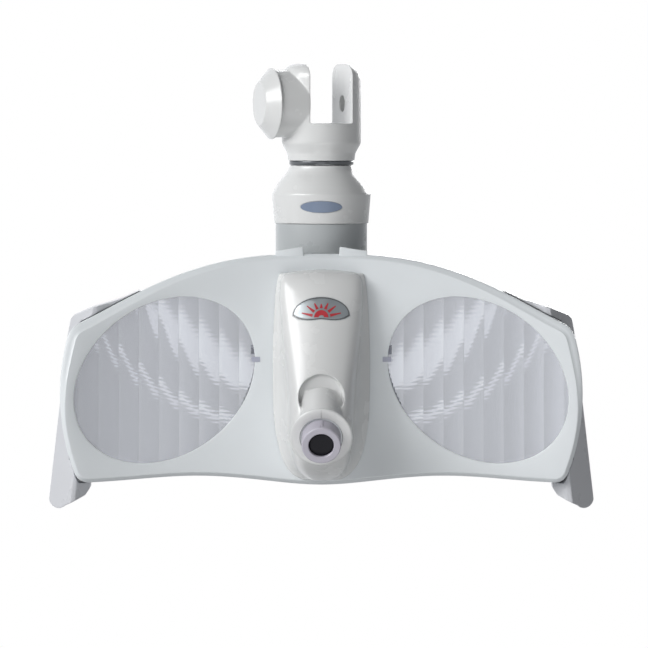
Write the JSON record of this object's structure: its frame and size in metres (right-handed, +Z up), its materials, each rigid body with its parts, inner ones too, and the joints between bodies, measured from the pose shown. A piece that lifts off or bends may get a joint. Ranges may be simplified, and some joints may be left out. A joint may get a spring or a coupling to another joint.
{
  "type": "dental operating light head",
  "caption": "Wide curved twin-reflector light head with a camera nose, side grips and a swivel-and-tilt neck that hangs from an arm knuckle.",
  "frame": {"origin": "centre of the arm pivot bore in the knuckle, on the swivel axis", "axes": "+X to the right of someone facing the light, along its widest extent; the light shines towards -Y; +Z up along the swivel axis"},
  "size_m": [0.5476, 0.2358, 0.445],
  "materials": {
    "gloss_white": "glossy moulded white",
    "panel_white": "satin moulded cool white",
    "handle_white": "satin moulded white",
    "sleeve_grey": "satin grey paint",
    "badge_blue": "blue-grey inlay",
    "nameplate": "satin grey plate",
    "mark_red": "red emblem",
    "chrome": "polished",
    "camera_metal": "fine turned",
    "lens_dark": "coated dark lens",
    "clear_cover": "clear polycarbonate",
    "reflector": "vacuum-metallised facets",
    "latch_grey": "translucent grey",
    "steel": "turned and milled",
    "bronze": "sintered bearing bronze",
    "cast_aluminium": "cast",
    "black_anodised": "black anodised",
    "led_dome": "clear dome",
    "board_green": "solder-masked laminate",
    "component_black": "moulded",
    "lead_grey": "insulated lead",
    "button_grey": "fine textured"
  },
  "bodies": {
    "knuckle": {"knuckle_housing": "gloss_white", "knuckle_cap": "gloss_white", "spindle_bush": "bronze", "swivel_ring": "chrome", "yaw_stop_key": "steel"},
    "neck": {"yaw_spindle": "steel", "spindle_clip": "steel", "neck_bell": "gloss_white", "neck_badge": "badge_blue", "neck_sleeve": "sleeve_grey", "tilt_yoke": "steel", "neck_screws": "steel", "tilt_bush_right": "bronze", "tilt_bush_left": "bronze", "supply_socket": "component_black", "supply_lead": "lead_grey", "supply_plug": "component_black"},
    "head": {"front_panel": "panel_white", "window_right": "clear_cover", "window_left": "clear_cover", "window_latch_right": "latch_grey", "window_latch_left": "latch_grey", "reflector_right": "reflector", "reflector_left": "reflector", "rear_cover_right": "panel_white", "rear_cover_left": "panel_white", "hub_cover": "gloss_white", "rear_screws": "steel", "head_frame": "cast_aluminium", "tilt_pin": "steel", "tilt_clip": "steel", "friction_springs": "steel", "friction_nut": "steel", "heat_sink": "black_anodised", "led_block_right": "cast_aluminium", "led_block_left": "cast_aluminium", "led_lens_right": "led_dome", "led_lens_left": "led_dome", "driver_board": "board_green", "driver_components": "component_black", "board_standoffs": "bronze", "led_lead_right": "lead_grey", "led_lead_left": "lead_grey", "nose_skirt": "panel_white", "nose_cover": "gloss_white", "nose_badge": "nameplate", "badge_mark": "mark_red", "camera_bush": "panel_white", "camera_body": "component_black", "handle_bracket_right": "steel", "handle_bracket_left": "steel"},
    "camera": {"camera_barrel": "camera_metal", "camera_ring": "camera_metal", "camera_lens": "lens_dark"},
    "handle_right": {"handle_right": "handle_white", "button_spring_right": "steel"},
    "handle_left": {"handle_left": "handle_white", "button_spring_left": "steel"},
    "button_right": {"handle_button_right": "button_grey"},
    "button_left": {"handle_button_left": "button_grey"}
  },
  "joints": [
    {"name": "yaw", "type": "hinge", "parent": "knuckle", "child": "neck", "pos_m": [0, 0, -0.07], "axis": [0, 0, 1], "range_deg": [-130, 130]},
    {"name": "tilt", "type": "hinge", "parent": "neck", "child": "head", "pos_m": [0, 0, -0.185], "axis": [1, 0, 0], "range_deg": [-15, 70]},
    {"name": "camera_turn", "type": "hinge", "parent": "head", "child": "camera", "pos_m": [0, -0.158, -0.3304], "axis": [0, -0.9205, -0.3907], "range_deg": [-90, 90]},
    {"name": "handle_pull_right", "type": "slide", "parent": "head", "child": "handle_right", "axis": [1, 0, 0], "range_m": [0, 0.045]},
    {"name": "handle_release_right", "type": "slide", "parent": "handle_right", "child": "button_right", "axis": [0, -1, 0], "range_m": [0, 0.0018], "stiffness_N_per_m": 400, "springref_m": -0.001, "deforming": ["button_spring_right"]},
    {"name": "handle_pull_left", "type": "slide", "parent": "head", "child": "handle_left", "axis": [-1, 0, 0], "range_m": [0, 0.045]},
    {"name": "handle_release_left", "type": "slide", "parent": "handle_left", "child": "button_left", "axis": [0, -1, 0], "range_m": [0, 0.0018], "stiffness_N_per_m": 400, "springref_m": -0.001, "deforming": ["button_spring_left"]}
  ]
}
